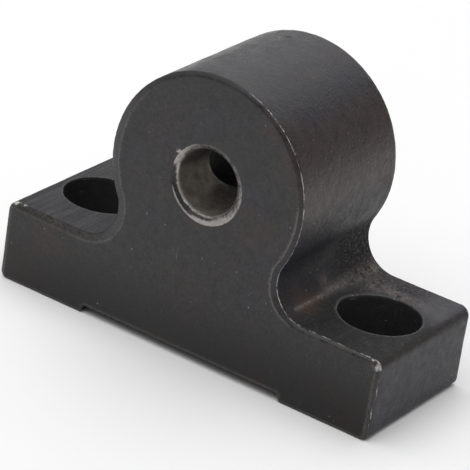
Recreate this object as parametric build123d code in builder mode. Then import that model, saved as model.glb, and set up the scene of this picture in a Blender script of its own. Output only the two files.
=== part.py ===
from build123d import *
from math import atan2, degrees, sqrt
import os

os.makedirs("parts", exist_ok=True)

# Lead screw support: one casting with a round barrel that stands on two bolt-down feet.
# Millimetres. X runs along the base, Y from the front face to the back face, Z up from the pads.
# The origin is midway between the feet and the two faces, at the level of the pads.

# Base and feet
base_length = 80.0
body_depth = 31.5
foot_height = 15.5
foot_top_corner = 2.0
foot_bottom_corner = 1.5

# Relief under the middle of the base, which leaves a pad under each foot
pad_length = 18.75
relief_height = 1.5
relief_corner = 0.6
pad_corner = 0.6

# Barrel round the screw, and the hollow curve between barrel and foot
bore_height = 34.0
barrel_diameter = 40.0
waist_radius = 6.5

# Bevel round the front and the back face: wide on the barrel, narrow on the feet
bevel_depth = 0.6
barrel_bevel = 1.3
foot_bevel = 0.6

# Bore for the end of the lead screw
bore_diameter = 12.0
bore_chamfer_width = 1.4
bore_chamfer_depth = 1.0

# Hole drilled in from the left flank, which breaks into the bore half way along it
side_hole_diameter = 10.5
side_hole_drop = 0.7
side_hole_chamfer = 1.2

# Counterbored holes for the two socket-head screws
bolt_end_distance = 10.0
bolt_hole_diameter = 9.0
screw_head_diameter = 13.0
screw_head_height = 8.0
head_clearance = 1.0
head_recess = 0.5

# Sizes that follow from the ones above
relief_width = base_length - 2 * pad_length
bolt_spacing = base_length - 2 * bolt_end_distance
barrel_radius = barrel_diameter / 2
bore_radius = bore_diameter / 2
side_hole_radius = side_hole_diameter / 2
counterbore_radius = screw_head_diameter / 2 + head_clearance
counterbore_depth = screw_head_height + head_recess


def body_outline(barrel_draw, foot_draw):
    """Outline of the body seen from the front, its barrel and its feet drawn in by the bevel."""
    foot_end = base_length / 2 - foot_draw
    foot_top = foot_height - foot_draw
    relief_end = relief_width / 2 + foot_draw
    relief_top = relief_height + foot_draw
    radius = barrel_radius - barrel_draw

    # The waist is an arc that touches both the barrel and the top of the foot
    waist = waist_radius + foot_draw
    drop = bore_height - foot_top - waist
    reach = sqrt((radius + waist) ** 2 - drop ** 2)
    share = radius / (radius + waist)
    touch = (reach * share, bore_height - drop * share)
    start_angle = degrees(atan2(-drop, reach))

    with BuildSketch(mode=Mode.PRIVATE) as outline:
        with BuildLine():
            FilletPolyline(
                (0, relief_top),
                (relief_end, relief_top),
                (relief_end, foot_draw),
                (foot_end, foot_draw),
                (foot_end, foot_top),
                (reach, foot_top),
                radius=[relief_corner, pad_corner, foot_bottom_corner, foot_top_corner],
            )
            RadiusArc((reach, foot_top), touch, waist)
            CenterArc((0, bore_height), radius, start_angle, 90 - start_angle)
            mirror(about=Plane.YZ)
        make_face()
    return outline.sketch


with BuildPart() as support_bracket:
    # Body between the two bevels
    bevel_start = body_depth / 2 - bevel_depth
    with BuildSketch(Plane.XZ.offset(-bevel_start)):
        add(body_outline(0, 0))
    extrude(amount=2 * bevel_start)

    # Bevel on the front face and on the back face
    for side in (-1, 1):
        with BuildSketch(Plane.XZ.offset(side * bevel_start)):
            add(body_outline(0, 0))
        with BuildSketch(Plane.XZ.offset(side * body_depth / 2)):
            add(body_outline(barrel_bevel, foot_bevel))
        loft(ruled=True)

    # Bore from face to face, with a chamfer at each mouth
    chamfer_angle = 2 * degrees(atan2(bore_chamfer_width, bore_chamfer_depth))
    for side in (-1, 1):
        with Locations(Plane((0, side * body_depth / 2, bore_height), z_dir=(0, side, 0))):
            CounterSinkHole(bore_radius, bore_radius + bore_chamfer_width, counter_sink_angle=chamfer_angle)

    # Side hole, drilled from the left flank as far as the bore's axis
    with Locations(Plane((-barrel_radius, 0, bore_height - side_hole_drop), z_dir=(-1, 0, 0))):
        CounterSinkHole(
            side_hole_radius,
            side_hole_radius + side_hole_chamfer,
            depth=barrel_radius,
            counter_sink_angle=90,
        )

    # Screw holes down through the feet
    with Locations(Plane.XY.offset(foot_height)):
        with GridLocations(bolt_spacing, 0, 2, 1):
            CounterBoreHole(bolt_hole_diameter / 2, counterbore_radius, counterbore_depth)

support_bracket.part.label = "support_bracket"
export_step(support_bracket.part, "parts/support_bracket.step")
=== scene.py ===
import math

import bmesh
import bpy
import numpy as np
from bpy.props import FloatProperty, FloatVectorProperty, IntProperty, PointerProperty
from bpy.types import Operator, Panel, PropertyGroup
from mathutils import Matrix, Vector
from mathutils.geometry import delaunay_2d_cdt


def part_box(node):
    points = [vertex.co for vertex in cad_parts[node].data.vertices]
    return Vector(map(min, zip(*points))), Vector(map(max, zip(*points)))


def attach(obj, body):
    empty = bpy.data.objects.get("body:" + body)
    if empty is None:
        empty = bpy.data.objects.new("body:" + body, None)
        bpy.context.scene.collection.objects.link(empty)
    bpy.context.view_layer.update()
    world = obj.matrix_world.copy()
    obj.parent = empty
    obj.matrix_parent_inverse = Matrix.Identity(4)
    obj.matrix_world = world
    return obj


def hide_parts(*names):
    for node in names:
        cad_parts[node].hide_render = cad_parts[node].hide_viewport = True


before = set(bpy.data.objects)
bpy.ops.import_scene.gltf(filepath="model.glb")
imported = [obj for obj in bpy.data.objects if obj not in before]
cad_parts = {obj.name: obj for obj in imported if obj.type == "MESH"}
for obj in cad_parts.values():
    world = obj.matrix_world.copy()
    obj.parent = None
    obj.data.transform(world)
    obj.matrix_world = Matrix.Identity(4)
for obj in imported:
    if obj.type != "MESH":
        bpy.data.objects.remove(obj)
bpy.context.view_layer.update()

bl_info = {
    "name": "Lead screw support",
    "version": (1, 0, 0),
    "blender": (4, 5, 0),
    "location": "View3D > Sidebar > Support",
    "description": "Blackened cast support for the end of a lead screw, on a plain studio floor",
    "category": "Add Mesh",
}

NODE = "support_bracket"
LOW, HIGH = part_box(NODE)
HALF_DEPTH = (HIGH.y - LOW.y) / 2
HALF_LENGTH = (HIGH.x - LOW.x) / 2
MM = 0.001


# Sizes

def length(name, default_mm, description):
    """A length property, with its default given in millimetres."""
    return FloatProperty(
        name=name, default=default_mm * MM, description=description, unit="LENGTH", precision=5
    )


class SupportSizes(PropertyGroup):
    """Sizes of the casting, the same as in the solid that it dresses."""

    foot_height: length("Foot height", 15.5, "Height of the feet above the seat")
    foot_top_corner: length("Foot top corner", 2.0, "Radius at the outer end of a foot, above")
    foot_bottom_corner: length("Foot bottom corner", 1.5, "Radius at the outer end of a foot, below")
    pad_length: length("Pad length", 18.75, "Length of the pad under each foot")
    relief_height: length("Relief height", 1.5, "Height of the relief between the pads")
    relief_corner: length("Relief corner", 0.6, "Radius at the pads' inner edges")
    barrel_radius: length("Barrel radius", 20.0, "Outer radius of the barrel")
    waist_radius: length("Waist radius", 6.5, "Radius of the hollow between barrel and foot")
    bore_height: length("Bore height", 34.0, "Height of the bore's axis above the seat")
    bore_radius: length("Bore radius", 6.0, "Radius of the bore")
    chamfer_width: length("Chamfer width", 1.4, "Width of the chamfer at the bore's mouths")
    chamfer_depth: length("Chamfer depth", 1.0, "Depth of the chamfer at the bore's mouths")
    chamfer_shift: length("Chamfer shift", 0.3, "How far the front chamfer lies off the bore's axis")
    side_hole_radius: length("Side hole radius", 5.25, "Radius of the hole in the left flank")
    side_hole_drop: length("Side hole drop", 0.7, "Distance of that hole below the bore's axis")
    side_hole_chamfer: length("Side hole chamfer", 1.2, "Countersink at that hole's outer mouth")
    screw_end_distance: length("Screw end distance", 10.0, "From a foot's end to its screw hole")
    screw_hole_radius: length("Screw hole radius", 4.5, "Radius of the through hole in a foot")
    recess_radius: length("Recess radius", 7.5, "Radius of the counterbore in a foot")
    recess_depth: length("Recess depth", 8.5, "Depth of the counterbore in a foot")
    hole_edge: length("Hole edge", 0.25, "Rounding at the mouths of the holes")
    mesh_step: length("Mesh step", 0.45, "Distance between the points of the visible skin")


class SkinSizes(PropertyGroup):
    """How uneven the cast skin is."""

    inset: length("Inset", 0.015, "Least distance of the skin inside the true surface")
    wave_height: length("Wave height", 0.05, "Height of the slow waves of the cast surface")
    wave_size: length("Wave size", 9.0, "Length of the slow waves")
    grain_height: length("Grain height", 0.035, "Height of the grain")
    grain_size: length("Grain size", 1.1, "Size of the grain")
    pit_depth: length("Pit depth", 0.28, "Depth of the pits in the rough hollow")
    pit_size: length("Pit size", 0.9, "Size of those pits")
    chip_depth: length("Chip depth", 0.22, "Depth of the chips in the rubbed edges")
    chip_size: length("Chip size", 1.6, "Size of those chips")
    seed: IntProperty(name="Seed", default=7, description="Choice of the random pattern")


def colour(name, default, description):
    return FloatVectorProperty(
        name=name, default=default, description=description, subtype="COLOR", min=0.0, max=1.0
    )


class FinishColours(PropertyGroup):
    """Colours of the blackened casting."""

    oxide: colour("Oxide", (0.0200, 0.0187, 0.0192), "Black oxide")
    oxide_warm: colour("Warm oxide", (0.0330, 0.0195, 0.0150), "Brown patches in the black")
    oxide_cool: colour("Cool oxide", (0.0185, 0.0162, 0.0250), "Blue patches in the black")
    milled: colour("Milled", (0.048, 0.048, 0.051), "Lines left by milling on the feet")
    bore_dark: colour("Bore, dark", (0.190, 0.162, 0.135), "Darker patches in the bore")
    bore: colour("Bore", (0.600, 0.525, 0.445), "Brown-grey metal in the bore")
    bore_light: colour("Bore, light", (0.540, 0.505, 0.450), "Tool marks in the bore")
    hole: colour("Hole", (0.034, 0.033, 0.035), "Black inside the drilled holes")
    hole_light: colour("Hole, light", (0.200, 0.195, 0.190), "Tool marks in the drilled holes")
    soft_wear: colour("Soft wear", (0.235, 0.224, 0.206), "Edges that are rubbed a little")
    bare: colour("Bare", (0.560, 0.530, 0.505), "Metal where the black is rubbed off")
    dust: colour("Dust", (0.235, 0.203, 0.180), "Dust and grit in the waist")
    stain: colour("Stain", (0.055, 0.028, 0.016), "Rusty stain in the waist")


def position(name, default, description):
    return FloatVectorProperty(
        name=name, default=default, description=description, subtype="TRANSLATION", precision=4
    )


def power(name, default, description):
    return FloatProperty(name=name, default=default, description=description, unit="POWER")


class StudioSettings(PropertyGroup):
    """Camera, lamps and floor."""

    camera_place: position("Camera place", (0.26147, -0.45712, 0.26761), "Where the camera stands")
    camera_target: position("Camera target", (-0.00141, 0.0, 0.01859), "Point in the picture's middle")
    camera_roll: FloatProperty(
        name="Camera roll", default=math.radians(9.56), unit="ROTATION",
        description="Turn of the picture about the view direction",
    )
    lens: FloatProperty(name="Lens", default=250.2, description="Focal length", unit="CAMERA")
    sensor: FloatProperty(name="Sensor", default=36.0, description="Sensor width", unit="CAMERA")
    ambient: FloatProperty(name="Ambient", default=0.30, description="Strength of the light all round")
    key_place: position("Key place", (-0.15, -0.1, 0.90), "Where the lamp above hangs")
    key_target: position("Key target", (0.0, 0.0, 0.02), "Point that the lamp above faces")
    key_size: length("Key size", 1500, "Length and width of the lamp above")
    key_power: power("Key power", 11.0, "Power of the lamp above")
    back_place: position("Back place", (-0.20, 0.71, 0.42), "Where the lamp behind stands")
    back_target: position("Back target", (0.0, 0.0, 0.04), "Point that the lamp behind faces")
    back_size: length("Back size", 750, "Length and width of the lamp behind")
    back_power: power("Back power", 0.95, "Power of the lamp behind")
    floor_size: length("Floor size", 6000, "Length and width of the floor")
    floor_colour: colour("Floor colour", (0.95, 0.95, 0.95), "Colour of the floor")


def own_properties(group):
    """Names of the properties that a group declares itself."""
    return [name for name in group.bl_rna.properties.keys() if name not in ("rna_type", "name")]


# Node trees

class Value:
    """A number that varies over a surface: an output socket with Python's operators."""

    def __init__(self, graph, socket):
        self.graph = graph
        self.socket = socket

    def math(self, operation, *others):
        return self.graph.number(operation, self, *others)

    def __add__(self, other):
        return self.math("ADD", other)

    def __sub__(self, other):
        return self.math("SUBTRACT", other)

    def __rsub__(self, other):
        return self.graph.number("SUBTRACT", other, self)

    def __mul__(self, other):
        return self.math("MULTIPLY", other)

    def __truediv__(self, other):
        return self.math("DIVIDE", other)

    def __rtruediv__(self, other):
        return self.graph.number("DIVIDE", other, self)

    __radd__ = __add__
    __rmul__ = __mul__

    def smooth(self, low, high):
        """0 below low, 1 above high, with a soft step between. low may be the larger one."""
        settings = {"interpolation_type": "SMOOTHSTEP"}
        if low <= high:
            values = {"Value": self, "From Min": low, "From Max": high}
        else:
            values = {"Value": self, "From Min": high, "From Max": low, "To Min": 1.0, "To Max": 0.0}
        return self.graph.node("ShaderNodeMapRange", settings, values)


class Graph:
    """A node tree, with one method that adds any node."""

    def __init__(self, tree):
        self.tree = tree

    def node(self, kind, settings=None, values=None, out=0):
        """Adds a node, sets it up, gives its sockets values or links, and returns an output."""
        made = self.tree.nodes.new(kind)
        for key, setting in (settings or {}).items():
            setattr(made, key, setting)
        for key, value in (values or {}).items():
            self.give(self.find(made.inputs, key), value)
        return Value(self, self.find(made.outputs, out)) if len(made.outputs) else made

    def find(self, sockets, key):
        """A socket by its number, its identifier or its name."""
        if isinstance(key, int):
            return sockets[key]
        for socket in sockets:
            if socket.identifier == key:
                return socket
        return sockets[key]

    def give(self, socket, value):
        if isinstance(value, Value):
            self.tree.links.new(value.socket, socket)
        else:
            socket.default_value = value

    def number(self, operation, *values):
        return self.node("ShaderNodeMath", {"operation": operation}, dict(enumerate(values)))

    def mix(self, share, first, second):
        """A colour between two colours."""
        settings = {"data_type": "RGBA"}
        values = {"Factor_Float": share, "A_Color": first, "B_Color": second}
        return self.node("ShaderNodeMix", settings, values, out="Result_Color")

    def scale(self, vector, factor):
        """A vector or a colour, times a number."""
        return self.node("ShaderNodeVectorMath", {"operation": "SCALE"}, {0: vector, "Scale": factor})

    def noise(self, place, size, detail, rough=0.5, seed=0.0):
        """Soft noise with features of about that size in metres, from 0 to 1."""
        values = {"Vector": place, "W": seed, "Scale": 1 / size, "Detail": detail, "Roughness": rough}
        return self.node("ShaderNodeTexNoise", {"noise_dimensions": "4D"}, values)

    def cells(self, place, size, seed=0.0):
        """Distance to the nearest of scattered points, in cells of about that size."""
        values = {"Vector": place, "W": seed, "Scale": 1 / size}
        return self.node("ShaderNodeTexVoronoi", {"voronoi_dimensions": "4D"}, values)


# Outline of the casting, seen from the front

# Longest distance between the outline's points along its arcs
OUTLINE_STEP = 0.02 * MM


class Outline:
    """Closed outline of the body as a fine table of arcs joined by straight lines.

    A place on it is its distance from the middle of the base, first under the right foot, then
    over the barrel and back under the left foot."""

    def __init__(self, sizes):
        span = {}
        rows = [np.array([[0.0, sizes.relief_height, 0.0, -1.0]])]
        for name, centre, radius, start, sweep, bulge in self.arcs(sizes):
            count = math.ceil(abs(sweep) * radius / OUTLINE_STEP)
            angle = start + sweep * np.linspace(0, 1, count + 1)
            out = np.column_stack([np.cos(angle), np.sin(angle)])
            begin = sum(map(len, rows))
            rows.append(np.hstack([np.array(centre) + radius * out, bulge * out]))
            span[name] = (begin, begin + count)
        right = np.vstack(rows)
        left = right[::-1][1:] * [-1, 1, -1, 1]
        self.rows = np.vstack([right, left])
        steps = np.linalg.norm(np.diff(self.rows[:, :2], axis=0), axis=1)
        self.place = np.concatenate([[0], np.cumsum(steps)])
        self.length = self.place[-1]
        self.span = {name: (self.place[a], self.place[b]) for name, (a, b) in span.items()}

    def arcs(self, sizes):
        """Right half of the outline: name, centre, radius, start, sweep, and 1 where it bulges out."""
        quarter = math.pi / 2
        relief_end = HALF_LENGTH - sizes.pad_length
        small, low, high = sizes.relief_corner, sizes.foot_bottom_corner, sizes.foot_top_corner
        waist, barrel = sizes.waist_radius, sizes.barrel_radius
        drop = sizes.bore_height - sizes.foot_height - waist
        reach = math.sqrt((barrel + waist) ** 2 - drop ** 2)
        lean = math.atan2(drop, reach)
        return [
            ("relief", (relief_end - small, sizes.relief_height - small), small, quarter, -quarter, -1),
            ("pad", (relief_end + small, small), small, 2 * quarter, quarter, 1),
            ("foot_bottom", (HALF_LENGTH - low, low), low, 3 * quarter, quarter, 1),
            ("foot_top", (HALF_LENGTH - high, sizes.foot_height - high), high, 0, quarter, 1),
            ("waist", (reach, sizes.foot_height + waist), waist, 3 * quarter, -quarter - lean, -1),
            ("barrel", (0, sizes.bore_height), barrel, -lean, quarter + lean, 1),
        ]

    def at(self, place):
        """x, z and the outward direction at places along the outline."""
        return [np.interp(place, self.place, column) for column in self.rows.T]

    def on_top(self, x):
        """Places along the outline for x on the foot tops and in the waists."""
        begin = np.searchsorted(self.place, self.span["foot_top"][1])
        end = begin + np.argmin(self.rows[begin:len(self.rows) // 2, 0])
        right = np.interp(np.abs(x), self.rows[begin:end, 0][::-1], self.place[begin:end][::-1])
        return np.where(x > 0, right, self.length - right)

    def below(self, x):
        """Places along the outline for x on the undersides of the pads."""
        begin = self.span["pad"][1]
        right = begin + np.abs(x) - np.interp(begin, self.place, self.rows[:, 0])
        return np.where(x > 0, right, self.length - right)

    def on_left_flank(self, z, sizes):
        """Places along the outline for z on the barrel's left flank."""
        angle = np.arcsin((z - sizes.bore_height) / sizes.barrel_radius)
        crown = self.span["barrel"][1]
        return self.length - (crown - sizes.barrel_radius * (math.pi / 2 - angle))

    def on_flank(self, flat):
        """Points of the flank, from pairs of a place along the outline and y."""
        x, z, _, _ = self.at(flat[:, 0])
        return np.column_stack([x, flat[:, 1], z])


# Worn edge round a face. Each row is a stretch of the outline, how far along it, more than 1 being
# past its end, the side, and there the width on the face and the depth on the flank in millimetres,
# the roundness from 1, flat, to 2, round, and how far the black is rubbed off along the outer and
# the inner line. The outer line is darker than the black round it where that is negative.
FRONT_EDGE = (
    ("relief", 0.0, 1, 0.35, 0.35, 2.0, 0.25, 0.15),
    ("foot_bottom", 0.0, 1, 0.40, 0.40, 2.0, 0.40, 0.15),
    ("foot_bottom", 1.0, 1, 0.80, 0.85, 2.0, 0.70, 0.15),
    ("foot_top", 0.0, 1, 0.80, 0.85, 2.0, 0.60, 0.20),
    ("foot_top", 0.5, 1, 0.90, 0.90, 2.0, 1.00, 0.35),
    ("foot_top", 1.0, 1, 0.70, 0.60, 1.5, 0.75, 0.0),
    ("waist", 0.0, 1, 0.75, 0.60, 1.2, 0.60, 0.0),
    ("waist", 0.5, 1, 1.20, 0.55, 1.1, 0.85, 0.55),
    ("barrel", 0.0, 1, 1.00, 0.55, 1.1, 0.90, 0.60),
    ("barrel", 0.25, 1, 0.80, 0.55, 1.1, 0.75, 0.60),
    ("barrel", 0.35, 1, 0.80, 0.55, 1.1, 0.80, 0.05),
    ("barrel", 0.70, 1, 0.75, 0.50, 1.2, 0.75, 0.0),
    ("barrel", 0.85, 1, 0.75, 0.50, 1.2, 0.55, 0.0),
    ("barrel", 0.93, 1, 0.80, 0.50, 1.2, -0.5, 0.0),
    ("barrel", 0.70, -1, 1.00, 0.55, 1.2, -0.6, 0.0),
    ("barrel", 0.30, -1, 1.70, 0.60, 1.1, 0.45, 0.35),
    ("waist", 0.5, -1, 1.80, 0.60, 1.1, 0.55, 0.30),
    ("waist", 0.0, -1, 1.45, 0.60, 1.1, 0.0, 0.24),
    ("foot_top", 2.4, -1, 1.25, 0.60, 1.2, 0.0, 0.14),
    ("foot_top", 1.0, -1, 1.25, 0.60, 1.2, 0.70, 0.14),
    ("foot_top", 0.5, -1, 0.75, 0.55, 1.8, 0.90, 0.15),
    ("foot_top", 0.0, -1, 0.70, 0.65, 2.0, 0.45, 0.15),
    ("foot_bottom", 1.0, -1, 0.80, 0.85, 2.0, 0.20, 0.20),
    ("foot_bottom", 0.0, -1, 0.40, 0.40, 2.0, 0.25, 0.20),
    ("relief", 0.0, -1, 0.35, 0.35, 2.0, 0.25, 0.15),
)
# The back face's edge is the same on the left as on the right
BACK_EDGE_HALF = (
    ("relief", 0.0, 0.50, 0.50, 2.0, 0.3, 0.1),
    ("foot_bottom", 0.0, 0.90, 0.90, 2.0, 0.3, 0.1),
    ("foot_top", 0.0, 1.40, 1.40, 2.0, 0.4, 0.1),
    ("foot_top", 1.0, 0.40, 0.35, 1.6, 0.5, 0.2),
    ("waist", 0.5, 1.20, 0.60, 1.3, 0.4, 0.3),
    ("barrel", 0.5, 1.20, 0.60, 1.3, 0.3, 0.2),
)
BACK_EDGE = [(*row[:2], side, *row[2:]) for side in (1, -1) for row in BACK_EDGE_HALF]
# Spots where the black is rubbed or knocked off: place and radius in millimetres, and strength,
# which is negative for a dark dent
WORN_SPOTS = (
    ((39.5, -15.4, 14.5), 1.15, 1.00),
    ((38.2, -15.3, 15.3), 0.6, 0.80),
    ((39.9, -15.3, 1.0), 0.6, 0.80),
    ((-38.6, -15.3, 15.3), 0.9, 1.00),
    ((-36.8, -15.3, 15.4), 0.55, 0.75),
    ((19.9, -12.2, 16.7), 0.45, 0.70),
    ((-31.9, -15.75, 13.4), 0.4, 0.70),
    ((-6.3, -15.75, 38.1), 0.9, 0.75),
    ((-4.7, 9.8, 53.4), 0.55, 0.90),
    ((-3.5, 10.7, 53.6), 0.7, -1.00),
)
# Brown patches in the black: place and radius in millimetres, and strength
WARM_SPOTS = (
    ((-36.0, -15.7, 3.5), 6.0, 0.45),
    ((-30.0, -15.7, 10.5), 4.0, 0.35),
    ((36.5, -15.7, 3.0), 5.0, 0.9),
    ((19.0, -15.7, 3.0), 6.0, 0.4),
    ((-1.0, -15.7, 27.0), 2.5, 0.7),
    ((19.9, 12.0, 35.0), 3.0, 0.9),
    ((15.0, 14.0, 46.0), 4.0, 0.6),
)
# Bare metal on the bore's chamfer, by the angle in degrees from the right: its outer line, the
# outer and the inner part of its slope, and its inner line. The lines are rubbed bare; on the
# slope the values are painted light and shade, dark where it lies in shadow at the left and lower left
CHAMFER_WEAR_AND_LIGHT = (
    (0, 0.75, 0.75, 0.60, 0.30),
    (45, 0.65, 0.65, 0.55, 0.25),
    (90, 0.55, 0.50, 0.40, 0.25),
    (118, 0.65, 0.55, 0.70, 0.60),
    (140, 1.20, 1.10, 1.00, 0.60),
    (163, 1.10, 1.05, 1.10, 0.90),
    (178, 0.20, 0.05, 0.55, 1.20),
    (196, 0.15, 0.05, 0.35, 1.00),
    (210, 1.40, 0.10, 0.20, 1.15),
    (232, 1.10, 0.15, 0.10, 1.20),
    (248, 1.35, 0.25, 0.10, 0.90),
    (262, 1.60, 1.00, 0.10, 0.90),
    (282, 1.60, 1.30, 0.25, 0.90),
    (305, 1.30, 1.20, 0.90, 0.60),
    (335, 0.75, 0.70, 0.65, 0.35),
)


def worn_edge(outline, rows, places):
    """Width, depth, roundness, and wear of the outer and the inner line, at places on the outline."""
    known = []
    for name, share, side, *values in rows:
        begin, end = outline.span[name]
        place = begin + share * (end - begin)
        known.append((place if side > 0 else outline.length - place, *values))
    known = np.array(sorted(known)).T
    columns = [np.interp(places, known[0], column, period=outline.length) for column in known[1:]]
    return columns[0] * MM, columns[1] * MM, *columns[2:]


# Mesh: lines across a worn edge, points round the bore and round another hole, and distances as
# shares of the mesh step
EDGE_LINES = 7
BORE_POINTS = 120
HOLE_POINTS = 96
OUTLINE_SPACING = 0.8
HOLE_SPACING = 1.3
COARSE_SPACING = 1.4
RIM_CLEARANCE = 0.62
# Points that are compared with a whole outline at a time
BATCH = 2000


def ramp(value, low, high):
    """0 below low, 1 above high, with a soft step between. low may be the larger one."""
    share = np.clip((value - low) / (high - low), 0, 1)
    return share * share * (3 - 2 * share)


def ring_angles(count):
    return np.arange(count) * 2 * math.pi / count


def batches(points):
    return [slice(begin, begin + BATCH) for begin in range(0, len(points), BATCH)]


def inside(points, loops):
    """True for each flat point that lies inside the loops, where a loop in a loop is a hole."""
    result = np.zeros(len(points), bool)
    for loop in loops:
        x0, y0 = loop.T
        x1, y1 = np.roll(loop, -1, axis=0).T
        for batch in batches(points):
            px, py = points[batch].T[:, :, None]
            spans = (y0 > py) != (y1 > py)
            with np.errstate(divide="ignore", invalid="ignore"):
                crosses = spans & (px < (x1 - x0) * (py - y0) / (y1 - y0) + x0)
            result[batch] ^= crosses.sum(axis=1) % 2 == 1
    return result


def clear_of(points, others, distance):
    """True for each flat point that is farther than that from all the others."""
    result = np.ones(len(points), bool)
    for batch in batches(points):
        gap = ((points[batch][:, None] - others[None]) ** 2).sum(axis=2).min(axis=1)
        result[batch] = gap > distance ** 2
    return result


class Surface:
    """Points and faces of one closed surface, and marks that the finish reads at its points."""

    def __init__(self):
        self.blocks = []
        self.count = 0
        self.faces = []
        self.marks = {}

    def add(self, points):
        """Adds points and returns their numbers."""
        points = np.asarray(points, float).reshape(-1, 3)
        numbers = np.arange(self.count, self.count + len(points))
        self.blocks.append(points)
        self.count += len(points)
        return numbers

    def points(self):
        return np.vstack(self.blocks)

    def mark(self, name, numbers, value=1.0):
        self.marks.setdefault(name, []).append((numbers, value))

    def marked(self, name):
        """The values of a mark at all the points."""
        values = np.zeros(self.count)
        for numbers, value in self.marks.get(name, ()):
            values[numbers] = value
        return values

    def band(self, first, second):
        """Faces between two closed rings of as many points."""
        after_first, after_second = np.roll(first, -1), np.roll(second, -1)
        self.faces += np.column_stack([first, after_first, after_second, second]).tolist()

    def wall(self, first, second, step):
        """Rings and faces from one ring straight to another. Returns the rings between."""
        all_points = self.points()
        start, stop = all_points[first], all_points[second]
        rows = max(1, round(np.linalg.norm(stop - start, axis=1).max() / step))
        rings = [first]
        for row in range(1, rows):
            rings.append(self.add(start + (stop - start) * row / rows))
        rings.append(second)
        for a, b in zip(rings, rings[1:]):
            self.band(a, b)
        return rings[1:-1]

    def patch(self, loops, place, step):
        """Fills a flat region with even triangles. loops are pairs of point numbers and flat
        coordinates, for the outer edge and each hole. place turns flat coordinates into points.
        Returns the points added inside."""
        rims = [rim for _, rim in loops]
        flat = np.vstack(rims)
        low, high = flat.min(axis=0), flat.max(axis=0)
        columns = np.arange(low[0], high[0], step)
        rows = np.arange(low[1], high[1], step * math.sqrt(3) / 2)
        grid_x, grid_y = np.meshgrid(columns, rows)
        grid_x = grid_x + (np.arange(len(rows)) % 2)[:, None] * step / 2
        grid = np.column_stack([grid_x.ravel(), grid_y.ravel()])
        grid = grid[inside(grid, rims)]
        grid = grid[clear_of(grid, flat, RIM_CLEARANCE * step)]
        added = self.add(place(grid))
        numbers = np.concatenate([numbers for numbers, _ in loops] + [added])
        edges = []
        begin = 0
        for rim in rims:
            ring = list(range(begin, begin + len(rim)))
            edges += list(zip(ring, ring[1:] + ring[:1]))
            begin += len(rim)
        scaled = [Vector(pair) for pair in (np.vstack([flat, grid]) / MM).tolist()]
        within_edges, tolerance = 1, 1e-5
        points, _, triangles, sources, _, _ = delaunay_2d_cdt(scaled, edges, [], within_edges, tolerance)
        source = np.array([found[0] for found in sources])
        triangles = np.array(triangles)
        middles = np.array([tuple(point) for point in points])[triangles].mean(axis=1)
        in_hole = inside(middles * MM, rims[1:])
        self.faces += numbers[source[triangles[~in_hole]]].tolist()
        return added

    def unrolled(self, front, back, places, girth, place, holes, step):
        """Fills the wall between two closed rings of as many points, unrolled from a seam at 0.
        places are where the rings' points lie along it, and girth is its length once round. holes
        and place are as for a patch. Returns all the wall's points."""
        points = self.points()
        front_y, back_y = points[front, 1], points[back, 1]
        seam_y = np.linspace(front_y[0], back_y[0], round(2 * HALF_DEPTH / step))[1:-1]
        seam = self.add(place(np.column_stack([np.zeros(len(seam_y)), seam_y])))
        numbers = [front, front[:1], seam, back[:1], back[:0:-1], back[:1], seam[::-1]]
        flat = [
            np.column_stack([places, front_y]),
            [(girth, front_y[0])],
            [(girth, y) for y in seam_y],
            [(girth, back_y[0])],
            np.column_stack([places, back_y])[:0:-1],
            [(0, back_y[0])],
            [(0, y) for y in seam_y[::-1]],
        ]
        edge = (np.concatenate(numbers), np.vstack(flat))
        added = self.patch([edge, *holes], place, step)
        return np.concatenate([added, front, back, seam])

    def mesh(self, name):
        """The surface as a mesh, its faces turned outwards."""
        made = bpy.data.meshes.new(name)
        made.from_pydata(self.points().tolist(), [], self.faces)
        work = bmesh.new()
        work.from_mesh(made)
        bmesh.ops.recalc_face_normals(work, faces=work.faces)
        open_edges = sum(not edge.is_manifold for edge in work.edges)
        if open_edges:
            raise RuntimeError(f"{name} is not closed: {open_edges} edges")
        work.to_mesh(made)
        work.free()
        for key in self.marks:
            made.attributes.new(key, "FLOAT", "POINT").data.foreach_set("value", self.marked(key))
        return made


# Parts of the skin

def mark_upright_edge(surface, outline, places, rings):
    """Lets the rubbed line wander over the upright edge at the front right."""
    begin, end = outline.span["foot_bottom"][1], outline.span["foot_top"][0]
    slow_wave, fast_wave = 1.7 * MM, 0.62 * MM
    middle, width, strength = 1.8, 0.8, 0.62
    line = middle + np.sin(places / slow_wave) + 0.6 * np.sin(places / fast_wave + 1.0)
    chosen = (places > begin) & (places < end)
    for number, ring in enumerate(rings):
        near = np.exp(-((number - line) / width) ** 2)
        surface.mark("wear", ring[chosen], strength * near[chosen])


def face_edge(surface, outline, places, side, rows):
    """Worn edge of one face. Returns its line on the flank and its line on the face."""
    x, z, out_x, out_z = outline.at(places)
    width, depth, roundness, outer, inner = worn_edge(outline, rows, places)
    rings = []
    for angle in np.linspace(0, math.pi / 2, EDGE_LINES):
        draw = width * (1 - max(math.cos(angle), 0) ** (2 / roundness))
        inset = depth * (1 - math.sin(angle) ** (2 / roundness))
        ring = np.column_stack([x - out_x * draw, side * (HALF_DEPTH - inset), z - out_z * draw])
        rings.append(surface.add(ring))
    for a, b in zip(rings, rings[1:]):
        surface.band(a, b)
    surface.mark("wear", rings[0], np.maximum(outer, 0))
    if side < 0:
        mark_upright_edge(surface, outline, places, rings)
    # Rubbed a little: all across the front edge over the left foot, elsewhere near the face
    on_left_foot = (side < 0) * (x < 0) * ramp(z / MM, 13, 15) * ramp(z / MM, 24, 16)
    pale = 0.19 * on_left_foot
    for ring in rings[2:-2]:
        surface.mark("soft_wear", ring, pale)
    surface.mark("soft_wear", rings[-2], inner * 0.3 + pale)
    surface.mark("soft_wear", rings[-1], inner * 1.6)
    for ring in rings[:4]:
        surface.mark("soot", ring, np.maximum(-outer, 0))
    return rings[0], rings[-1]


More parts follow.
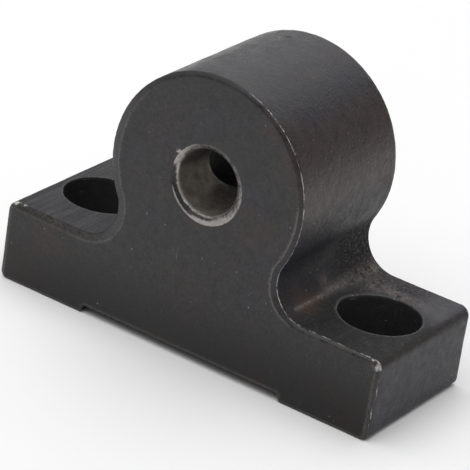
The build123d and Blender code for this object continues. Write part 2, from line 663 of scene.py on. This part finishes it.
def bore_mouth(surface, sizes, side):
    """Worn chamfer at one mouth of the bore, with painted light and shade on its slope. Returns its line
    on the face and its line in the bore.
    """
    turns = ring_angles(BORE_POINTS)
    edge = sizes.hole_edge
    outer = sizes.bore_radius + sizes.chamfer_width
    shift = sizes.chamfer_shift if side < 0 else 0.0
    inner_level = HALF_DEPTH - sizes.chamfer_depth * (1 - edge / sizes.chamfer_width)

    def ring(radius, level, aside=0.0):
        x = radius * np.cos(turns) + aside
        z = radius * np.sin(turns) + sizes.bore_height - aside / 2
        return surface.add(np.column_stack([x, np.full(len(turns), side * level), z]))

    rim = ring(outer + edge / 2, HALF_DEPTH, shift)
    lip = ring(outer - edge / 2, HALF_DEPTH - edge / 3, shift)
    inner = ring(sizes.bore_radius + edge, inner_level)
    start = ring(sizes.bore_radius, HALF_DEPTH - sizes.chamfer_depth - edge / 2)
    surface.band(rim, lip)
    between = surface.wall(lip, inner, sizes.mesh_step)
    surface.band(inner, start)
    angles, *columns = np.array(CHAMFER_WEAR_AND_LIGHT).T
    lip_wear, outer_slope_light, inner_slope_light, inner_wear = (
        np.interp(np.degrees(turns), angles, column, period=360) for column in columns
    )
    surface.mark("bare", lip, lip_wear)
    surface.mark("bare", inner, inner_wear)
    # Painted light and shade on the slope, by the angle round the bore, drawn as bare metal
    for ring_between, share in zip(between, np.linspace(0, 1, len(between))):
        surface.mark("bare", ring_between, outer_slope_light + (inner_slope_light - outer_slope_light) * share)
    return rim, start


def flat_face(surface, side, outer, rim, step):
    """Front or back face, from the worn edge round it to the mouth of the bore."""
    points = surface.points()
    loops = [(ring, points[ring][:, [0, 2]]) for ring in (outer, rim)]

    def on_face(flat):
        return np.column_stack([flat[:, 0], np.full(len(flat), side * HALF_DEPTH), flat[:, 1]])

    added = surface.patch(loops, on_face, step)
    x, _, z = surface.points()[added].T / MM
    # Painted shade: the face darker and rougher towards the bottom, more so to the right
    surface.mark("low", added, -ramp(z, 17, 3) * np.interp(x, (0, 30), (1.2, 1.8)))


def side_hole(surface, sizes):
    """Hole from the barrel's left flank to the bore. Returns its outer and its inner end."""
    around = ring_angles(HOLE_POINTS)
    hole = sizes.side_hole_radius
    axis = sizes.bore_height - sizes.side_hole_drop
    # The countersink's mouth, where its cone and the barrel meet, comes nearer with each try
    tries = 8
    radius = np.full(len(around), hole + sizes.side_hole_chamfer)
    for _ in range(tries):
        height = axis + radius * np.sin(around) - sizes.bore_height
        mouth_x = -np.sqrt(sizes.barrel_radius ** 2 - height ** 2)
        radius = hole + sizes.side_hole_chamfer - (mouth_x + sizes.barrel_radius)
    mouth_y, mouth_z = radius * np.cos(around), axis + radius * np.sin(around)
    mouth = surface.add(np.column_stack([mouth_x, mouth_y, mouth_z]))
    ring_y, ring_z = hole * np.cos(around), axis + hole * np.sin(around)
    cone_end = np.full(len(around), sizes.side_hole_chamfer - sizes.barrel_radius)
    start = surface.add(np.column_stack([cone_end, ring_y, ring_z]))
    wall_x = -np.sqrt(sizes.bore_radius ** 2 - (ring_z - sizes.bore_height) ** 2)
    end = surface.add(np.column_stack([wall_x, ring_y, ring_z]))
    between = surface.wall(mouth, start, sizes.mesh_step)
    between += surface.wall(start, end, sizes.mesh_step * COARSE_SPACING)
    surface.mark("in_hole", np.concatenate([start, end, *between]))
    surface.mark("wear", end, 0.03)
    return mouth, end


def bore_wall(surface, sizes, front, back, hole_end):
    """Wall of the bore, unrolled from its right-hand side."""
    bore = sizes.bore_radius

    def on_wall(flat):
        turn = flat[:, 0] / bore
        return np.column_stack([bore * np.cos(turn), flat[:, 1], sizes.bore_height + bore * np.sin(turn)])

    x, y, z = surface.points()[hole_end].T
    turn = np.arctan2(z - sizes.bore_height, x) % (2 * math.pi)
    hole = (hole_end, np.column_stack([turn * bore, y]))
    places = ring_angles(BORE_POINTS) * bore
    wall = surface.unrolled(front, back, places, 2 * math.pi * bore, on_wall, [hole], sizes.mesh_step)
    surface.mark("in_bore", wall)
    # Painted shade in the bore: darker at the top, at the bottom and near the front
    _, y, z = surface.points()[wall].T / MM
    top, bottom, front_end = ramp(z, 32.3, 35.4), ramp(z, 29.7, 28.4), ramp(y, -8.0, -14.6)
    surface.mark("soot", wall, 0.85 * np.maximum.reduce([top, 0.72 * bottom, 0.72 * front_end]))


def screw_hole(surface, sizes, outline, side):
    """Screw hole in one foot: rounded mouth, counterbore, floor and through hole. Returns the holes
    that it makes in the flank, above and below."""
    around = ring_angles(HOLE_POINTS)
    ring_x, ring_y = np.cos(around), np.sin(around)
    centre = side * (HALF_LENGTH - sizes.screw_end_distance)
    edge = sizes.hole_edge
    # About 1 - cos(45 degrees), for the line half way round a rounded edge
    half_way = 0.3 * edge
    wide, narrow = sizes.recess_radius, sizes.screw_hole_radius
    floor = sizes.foot_height - sizes.recess_depth
    top_place = outline.on_top(centre + (wide + edge) * ring_x)
    low_place = outline.below(centre + (narrow + edge) * ring_x)
    top_z = outline.at(top_place)[1]
    rings = []
    for radius, height in (
        (wide + edge, top_z),
        (wide + half_way, top_z - half_way),
        (wide, top_z - edge),
        (wide, floor),
        (narrow + edge, floor),
        (narrow, floor - edge),
        (narrow, edge),
        (narrow + edge, 0.0),
    ):
        heights = np.broadcast_to(height, ring_x.shape)
        ring = np.column_stack([centre + radius * ring_x, radius * ring_y, heights])
        rings.append(surface.add(ring))
    for a, b in zip(rings, rings[1:]):
        between = surface.wall(a, b, sizes.mesh_step * HOLE_SPACING)
        if a is not rings[0]:
            surface.mark("in_hole", np.concatenate([a, *between]))
    surface.mark("wear", rings[1], 0.45)
    return [
        (rings[0], np.column_stack([top_place, (wide + edge) * ring_y])),
        (rings[-1], np.column_stack([low_place, (narrow + edge) * ring_y])),
    ]


def mark_flank(surface, numbers):
    """Marks on the flank, by the place in millimetres."""
    x, y, z = surface.points()[numbers].T / MM
    surface.mark("flank", numbers)
    foot_top = ramp(z, 14.0, 15.3) * ramp(z, 16.6, 15.7)
    surface.mark("milled", numbers, foot_top * np.where(x < 0, 1.0, 0.15))

    # Pits and grit at the back of the right waist and behind the screw hole
    in_waist = ramp(y, 0, 8) * ramp(x, 15, 17) * ramp(x, 26, 22)
    behind_hole = ramp(y, 5, 8) * ramp(x, 36, 28) * foot_top
    right_waist = (x > 0) * ramp(z, 27, 24) * (z > 10)
    surface.mark("rough", numbers, right_waist * np.clip(in_waist + behind_hole, 0, 1))

    # Dust: a line along the right waist, the back edge of the screw hole, a film and a spot
    right_foot = (x > 0) * (z > 10) * ramp(z, 20, 19)
    waist_x = 20.1
    spread = 0.28 + 0.7 * ramp(y, -8, 8)
    line = np.exp(-(((x - waist_x) / spread) ** 2)) * ramp(y, -13, -11.5)
    hole_back = np.exp(-(((y - 9.3) / 1.6) ** 2)) * ramp(x, 20, 24) * ramp(x, 36, 29) * foot_top
    film = 0.22 * ramp(y, 2, 8) * ramp(x, 19.5, 21) * ramp(x, 31, 24) * ramp(z, 17.2, 16.2)
    spot = 0.5 * np.exp(-((x - 18.6) ** 2 + ((y + 1.0) / 1.6) ** 2) / 1.2)
    dust = np.clip(line + hole_back + np.maximum(film, spot), 0, 1)
    surface.mark("dust", numbers, dust * right_foot)

    # Rusty stain in the right waist, brown on the right foot's end and on the barrel's right side
    stain = np.exp(-(((x - waist_x) / 2.0) ** 2 + ((y + 9.0) / 3.5) ** 2)) * right_foot
    brown_edge = 0.22 * ramp(x, 38.5, 39.3) * ramp(z, 13.6, 14.5)
    brown_side = 0.38 * ramp(x, 9, 15) * ramp(z, 51, 45) * ramp(z, 29, 36)
    surface.mark("stain", numbers, np.maximum.reduce([stain, brown_edge, brown_side]))

    # Blue on the right, and how satin the black is: above 0 only rougher, below 0 also darker, which is
    # painted shade on the lower right of the barrel, in the right waist and at the front of the right
    # foot's top
    surface.mark("cool", numbers, 0.55 * ramp(x, 0, 12) * ramp(z, 36, 26))
    low = ramp(z, 40, 28) * np.interp(x, (-10, 10, 38.5, 39.6), (1.0, -1.3, -1.3, -0.95))
    low_top = np.where(x < 0, 1.2, 1.6 - 2.6 * ramp(y, 10, 0))
    surface.mark("low", numbers, low + low_top * foot_top)


def mark_spots(surface):
    """Worn, dark and brown spots, wherever they touch the surface."""
    points = surface.points() / MM
    for name, sign, spots in (("wear", 1, WORN_SPOTS), ("soot", -1, WORN_SPOTS), ("warm", 1, WARM_SPOTS)):
        values = surface.marked(name)
        for centre, radius, strength in spots:
            gap = np.linalg.norm(points - np.array(centre), axis=1) / radius
            values = np.maximum(values, sign * strength * (1 - np.clip(gap, 0, 1) ** 2))
        surface.mark(name, np.arange(surface.count), values)


def body_surface(sizes):
    """The whole skin of the casting as one closed surface."""
    outline = Outline(sizes)
    surface = Surface()
    step = sizes.mesh_step
    count = 2 * round(outline.length / step / (2 * OUTLINE_SPACING))
    places = np.arange(count) * outline.length / count
    front_flank, front_face = face_edge(surface, outline, places, -1, FRONT_EDGE)
    back_flank, back_face = face_edge(surface, outline, places, 1, BACK_EDGE)
    front_rim, front_bore = bore_mouth(surface, sizes, -1)
    flat_face(surface, -1, front_face, front_rim, step)
    back_rim, back_bore = bore_mouth(surface, sizes, 1)
    flat_face(surface, 1, back_face, back_rim, step * COARSE_SPACING)
    hole_mouth, hole_end = side_hole(surface, sizes)
    bore_wall(surface, sizes, front_bore, back_bore, hole_end)
    holes = screw_hole(surface, sizes, outline, -1) + screw_hole(surface, sizes, outline, 1)
    _, mouth_y, mouth_z = surface.points()[hole_mouth].T
    mouth_place = outline.on_left_flank(mouth_z, sizes)
    holes.append((hole_mouth, np.column_stack([mouth_place, mouth_y])))
    rims = front_flank, back_flank
    flank = surface.unrolled(*rims, places, outline.length, outline.on_flank, holes, step)
    mark_flank(surface, flank)
    mark_spots(surface)
    return surface


# Cast skin

def cast_skin_tree(skin, material):
    """Geometry nodes that press waves, grain, pits and chips into a surface, never outwards.
    Returns the tree and the identifiers of its inputs."""
    tree = bpy.data.node_groups.new("Cast skin", "GeometryNodeTree")
    sockets = tree.interface
    sockets.new_socket("Geometry", in_out="INPUT", socket_type="NodeSocketGeometry")
    inputs = {}
    for name in own_properties(skin):
        kind = "NodeSocketInt" if name == "seed" else "NodeSocketFloat"
        label = name.replace("_", " ").capitalize()
        inputs[name] = sockets.new_socket(label, in_out="INPUT", socket_type=kind).identifier
    sockets.new_socket("Geometry", in_out="OUTPUT", socket_type="NodeSocketGeometry")
    graph = Graph(tree)
    entry = tree.nodes.new("NodeGroupInput")
    given = {name: Value(graph, graph.find(entry.outputs, key)) for name, key in inputs.items()}
    place = graph.node("GeometryNodeInputPosition")
    normal = graph.node("GeometryNodeInputNormal")
    seed = given["seed"]

    def mark(name):
        return graph.node("GeometryNodeInputNamedAttribute", {"data_type": "FLOAT"}, {"Name": name})

    wave = graph.noise(place, given["wave_size"], 1.0, seed=seed).smooth(0.3, 0.7)
    grain = graph.noise(place, given["grain_size"], 3.0, seed=seed).smooth(0.3, 0.75)
    chip = graph.noise(place, given["chip_size"], 2.0, seed=seed).smooth(0.45, 0.75)
    pit = graph.cells(place, given["pit_size"], seed=seed).smooth(0.45, 0.1)
    cast = mark("cast")
    depth = given["inset"] + wave * given["wave_height"] * cast + grain * given["grain_height"] * cast
    depth = depth + pit * given["pit_depth"] * mark("rough") + chip * given["chip_depth"] * mark("wear")
    moved = graph.node(
        "GeometryNodeSetPosition", None,
        {"Geometry": Value(graph, entry.outputs["Geometry"]), "Offset": graph.scale(normal, depth * -1.0)},
    )
    smooth = graph.node("GeometryNodeSetShadeSmooth", None, {"Geometry": moved, "Shade Smooth": True})
    real = graph.node("GeometryNodeRealizeInstances", None, {"Geometry": smooth})
    dressed = graph.node("GeometryNodeSetMaterial", None, {"Geometry": real, "Material": material})
    graph.node("NodeGroupOutput", None, {"Geometry": dressed})
    return tree, inputs


def bake(piece):
    """Turns a piece's modifiers into a plain mesh."""
    evaluated = piece.evaluated_get(bpy.context.evaluated_depsgraph_get())
    plain = bpy.data.meshes.new_from_object(evaluated)
    piece.modifiers.clear()
    old = piece.data
    piece.data = plain
    bpy.data.meshes.remove(old)


# Finish

def blackened_casting(colours):
    """Black oxide over a casting: mottled and satin, with bare metal where it is worn, painted light and
    shade on the bore's chamfer, painted shade in the bore and on the low parts, and painted glints.
    """
    material = bpy.data.materials.new("blackened_casting")
    material.use_nodes = True
    graph = Graph(material.node_tree)
    shader = material.node_tree.nodes["Principled BSDF"]
    place = graph.node("ShaderNodeTexCoord", out="Object")
    names = "wear soft_wear soot bare in_bore in_hole milled rough dust stain flank low warm cool"
    mark = {
        name: graph.node("ShaderNodeAttribute", {"attribute_name": name}, out="Fac")
        for name in names.split()
    }

    def tone(name):
        return (*getattr(colours, name), 1.0)

    def scaled(x, y, z):
        return graph.node("ShaderNodeVectorMath", {"operation": "MULTIPLY"}, {0: place, 1: (x, y, z)})

    # Slow patches of brown and blue in the black, and a fine grain
    warm_patch = graph.noise(place, 11 * MM, 4.0, 0.6, seed=1.3).smooth(0.50, 0.66) * 0.6 + mark["warm"]
    cool_patch = graph.noise(place, 8 * MM, 4.0, 0.6, seed=4.1).smooth(0.46, 0.66)
    grain = graph.noise(place, 0.5 * MM, 3.0, 0.7, seed=2.0)
    cloud = graph.noise(place, 2.2 * MM, 5.0, 0.7, seed=6.0)
    colour = graph.mix(warm_patch.math("MINIMUM", 1.0), tone("oxide"), tone("oxide_warm"))
    colour = graph.mix(cool_patch * 0.5 + mark["flank"] * 0.4 + mark["cool"], colour, tone("oxide_cool"))
    fine = (grain - 0.5) * (mark["flank"] * -1.6 + 3.0)
    coarse = (cloud - 0.5) * (mark["flank"] * -1.4 + 2.6)
    level = fine + coarse + 1.0
    # Painted shade: the black is darker where the mark low is below 0, at the bottom of the faces and low
    # on the right
    level = level.math("MAXIMUM", 0.35) * (mark["low"].math("MINIMUM", 0.0) * 0.4 + 1.0)
    colour = graph.scale(colour, level)

    # Dust in the waist, a rusty stain and pale grit
    grit = graph.noise(place, 0.35 * MM, 2.0, 0.6, seed=8.0).smooth(0.42, 0.62)
    crumbs = graph.noise(place, 1.3 * MM, 3.0, 0.7, seed=18.0).smooth(0.40, 0.62)
    dust = mark["dust"] * (grit * 0.5 + 0.5) * (crumbs * 0.4 + 0.6)
    colour = graph.mix(mark["stain"] * (cloud.smooth(0.30, 0.62) * 0.4 + 0.6), colour, tone("stain"))
    colour = graph.mix(dust, colour, tone("dust"))
    pits = graph.cells(place, 1.0 * MM, seed=23.0).smooth(0.52, 0.42) * cloud.smooth(0.42, 0.50)
    pits = pits * mark["rough"]
    colour = graph.mix(pits, colour, tone("hole"))
    pale = mark["rough"] * graph.noise(place, 0.5 * MM, 2.0, 0.7, seed=9.0).smooth(0.53, 0.62)
    colour = graph.mix(pale * 0.35, colour, tone("dust"))
    milling = graph.noise(scaled(1.0, 0.02, 1.0), 0.40 * MM, 2.0, 0.6, seed=5.0)
    colour = graph.mix(mark["milled"] * milling.smooth(0.44, 0.60) * 0.8, colour, tone("milled"))
    soft_wear = mark["soft_wear"] * (grain * 1.2 + cloud - 0.65)
    colour = graph.mix(soft_wear.math("MAXIMUM", 0.0), colour, tone("soft_wear"))

    # Bore: brown-grey bare metal with rings left by the tool
    rings = graph.noise(scaled(0.05, 1.0, 0.05), 0.3 * MM, 3.0, 0.7, seed=7.0)
    patches = graph.noise(place, 2.5 * MM, 4.0, 0.65, seed=3.0).smooth(0.24, 0.76)
    bore_colour = graph.mix(patches, tone("bore_dark"), tone("bore"))
    bore_colour = graph.mix(rings.smooth(0.45, 0.75) * 0.5, bore_colour, tone("bore_light"))
    colour = graph.mix(mark["in_bore"], colour, bore_colour)
    turning = graph.noise(scaled(0.08, 0.08, 1.0), 0.35 * MM, 3.0, 0.7, seed=21.0).smooth(0.58, 0.72)
    turned = turning * graph.noise(place, 1.8 * MM, 2.0, 0.6, seed=22.0).smooth(0.5, 0.62)
    colour = graph.mix(mark["in_hole"], colour, graph.mix(turned, tone("hole"), tone("hole_light")))

    # Bare metal on the rubbed edges, bare metal and painted light and shade on the chamfer, small nicks,
    # hairline scratches and painted glints
    nibble = graph.noise(place, 1.5 * MM, 4.0, 0.7, seed=11.0)
    rubbed = (mark["wear"] + (nibble - 0.5) * 2.2).smooth(0.42, 0.85) * mark["wear"].smooth(0.02, 0.2)
    ragged = graph.noise(place, 0.7 * MM, 4.0, 0.7, seed=12.0)
    bare = (mark["bare"] + (ragged - 0.5) * 1.8).smooth(0.30, 1.25) * mark["bare"].smooth(0.0, 0.1)
    nicks = graph.cells(place, 1.5 * MM, seed=2.0).smooth(0.13, 0.07) * nibble.smooth(0.44, 0.53)
    hair = graph.noise(scaled(1.0, 1.0, 0.07), 0.14 * MM, 1.0, 0.5, seed=14.0).smooth(0.73, 0.80)
    metal = rubbed.math("MAXIMUM", bare * 0.8).math("MAXIMUM", nicks * 0.4).math("MAXIMUM", hair * 0.3)
    # Glint: painted highlight specks, more of them on the flank
    glint = graph.noise(place, 0.32 * MM, 2.0, 0.6, seed=19.0).smooth(0.58, 0.72)
    metal = (metal + glint * (mark["flank"] * 0.08 + 0.03)).math("MINIMUM", 1.0)
    colour = graph.mix(metal, colour, tone("bare"))
    # Darkened to the black of the holes: dark dents, dark lines on some edges, and painted shade in the
    # bore
    colour = graph.mix(mark["soot"], colour, tone("hole"))
    graph.give(shader.inputs["Base Color"], colour)

    metallic = metal * 0.7 + mark["in_bore"] * 0.5
    graph.give(shader.inputs["Metallic"], metallic.math("MINIMUM", 1.0))
    roughness = (cloud - 0.5) * 0.6 + (grain - 0.5) * 0.35 + 0.35
    roughness = roughness + mark["low"].math("ABSOLUTE") * 0.15 + mark["soot"] * 0.5
    roughness = roughness + mark["rough"] * 0.25 + mark["dust"] * 0.2
    graph.give(shader.inputs["Roughness"], roughness.math("MAXIMUM", 0.15))
    shader.inputs["Specular IOR Level"].default_value = 0.46

    bumps = grain * (mark["flank"] * 0.5 + 1.0) + cloud * 2.2 + mark["milled"] * milling * 0.9
    bumps = bumps + mark["rough"] * grit * 2.6 + mark["in_bore"] * rings * 0.8
    bumps = bumps - metal * 0.3 - pits * 2.0
    bump = graph.node("ShaderNodeBump", None, {"Strength": 0.8, "Distance": 0.08 * MM, "Height": bumps})
    graph.give(shader.inputs["Normal"], bump)
    return material


class SUPPORT_OT_body(Operator):
    """Make the blackened casting and stand it in for the plain solid"""

    bl_idname = "support.body"
    bl_label = "Cast body"

    def execute(self, context):
        sizes, skin = context.scene.support_sizes, context.scene.support_skin
        surface = body_surface(sizes)
        surface.mark("cast", np.arange(surface.count), 1.0)
        piece = bpy.data.objects.new("cast_body", surface.mesh("cast_body"))
        context.scene.collection.objects.link(piece)
        tree, inputs = cast_skin_tree(skin, blackened_casting(context.scene.support_colours))
        modifier = piece.modifiers.new("Cast skin", "NODES")
        modifier.node_group = tree
        for name, key in inputs.items():
            modifier[key] = getattr(skin, name)
        bake(piece)
        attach(piece, "root")
        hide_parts(NODE)
        return {"FINISHED"}


# Stage

class SUPPORT_OT_stage(Operator):
    """Make the floor, the lamps and the camera"""

    bl_idname = "support.stage"
    bl_label = "Stage"

    def execute(self, context):
        studio = context.scene.support_studio
        context.scene.view_settings.view_transform = "Standard"
        self.floor(context, studio)
        self.world(context, studio)
        for name in ("key", "back"):
            self.lamp(context, studio, name)
        self.camera(context, studio)
        return {"FINISHED"}

    def floor(self, context, studio):
        half = studio.floor_size / 2
        corners = [(-half, -half, 0), (half, -half, 0), (half, half, 0), (-half, half, 0)]
        mesh = bpy.data.meshes.new("floor")
        mesh.from_pydata(corners, [], [(0, 1, 2, 3)])
        floor = bpy.data.objects.new("floor", mesh)
        context.scene.collection.objects.link(floor)
        material = bpy.data.materials.new("floor")
        material.use_nodes = True
        shader = material.node_tree.nodes["Principled BSDF"]
        shader.inputs["Base Color"].default_value = (*studio.floor_colour, 1.0)
        shader.inputs["Roughness"].default_value = 0.9
        shader.inputs["Specular IOR Level"].default_value = 0.0
        mesh.materials.append(material)

    def world(self, context, studio):
        world = bpy.data.worlds.new("studio")
        world.use_nodes = True
        background = world.node_tree.nodes["Background"]
        background.inputs["Color"].default_value = (1.0, 1.0, 1.0, 1.0)
        background.inputs["Strength"].default_value = studio.ambient
        context.scene.world = world

    def lamp(self, context, studio, name):
        place = Vector(getattr(studio, f"{name}_place"))
        target = Vector(getattr(studio, f"{name}_target"))
        data = bpy.data.lights.new(name, "AREA")
        data.energy = getattr(studio, f"{name}_power")
        data.size = getattr(studio, f"{name}_size")
        lamp = bpy.data.objects.new(name, data)
        lamp.location = place
        lamp.rotation_euler = (target - place).to_track_quat("-Z", "Y").to_euler()
        context.scene.collection.objects.link(lamp)

    def camera(self, context, studio):
        data = bpy.data.cameras.new("camera")
        data.lens = studio.lens
        data.sensor_width = studio.sensor
        data.clip_start = 0.01
        camera = bpy.data.objects.new("camera", data)
        forward = Vector(studio.camera_target) - Vector(studio.camera_place)
        level = forward.to_track_quat("-Z", "Y").to_matrix().to_4x4()
        roll = Matrix.Rotation(studio.camera_roll, 4, "Z")
        camera.matrix_world = Matrix.Translation(studio.camera_place) @ level @ roll
        context.scene.collection.objects.link(camera)
        context.scene.camera = camera


class SUPPORT_PT_panel(Panel):
    """Lists the pieces of the lead screw support"""

    bl_idname = "SUPPORT_PT_panel"
    bl_label = "Lead screw support"
    bl_space_type = "VIEW_3D"
    bl_region_type = "UI"
    bl_category = "Support"

    def draw(self, context):
        layout = self.layout
        for operator in OPERATORS:
            layout.operator(operator.bl_idname)
        for group in (getattr(context.scene, name) for name in GROUPS):
            box = layout.box()
            for name in own_properties(group):
                box.prop(group, name)


OPERATORS = (SUPPORT_OT_body, SUPPORT_OT_stage)
GROUPS = {
    "support_sizes": SupportSizes,
    "support_skin": SkinSizes,
    "support_colours": FinishColours,
    "support_studio": StudioSettings,
}


def register():
    for cls in (*GROUPS.values(), *OPERATORS, SUPPORT_PT_panel):
        bpy.utils.register_class(cls)
    for name, group in GROUPS.items():
        setattr(bpy.types.Scene, name, PointerProperty(type=group))


def unregister():
    for name in GROUPS:
        delattr(bpy.types.Scene, name)
    for cls in reversed((*GROUPS.values(), *OPERATORS, SUPPORT_PT_panel)):
        bpy.utils.unregister_class(cls)


def main():
    register()
    bpy.ops.support.body()
    bpy.ops.support.stage()


if __name__ == "__main__":
    main()
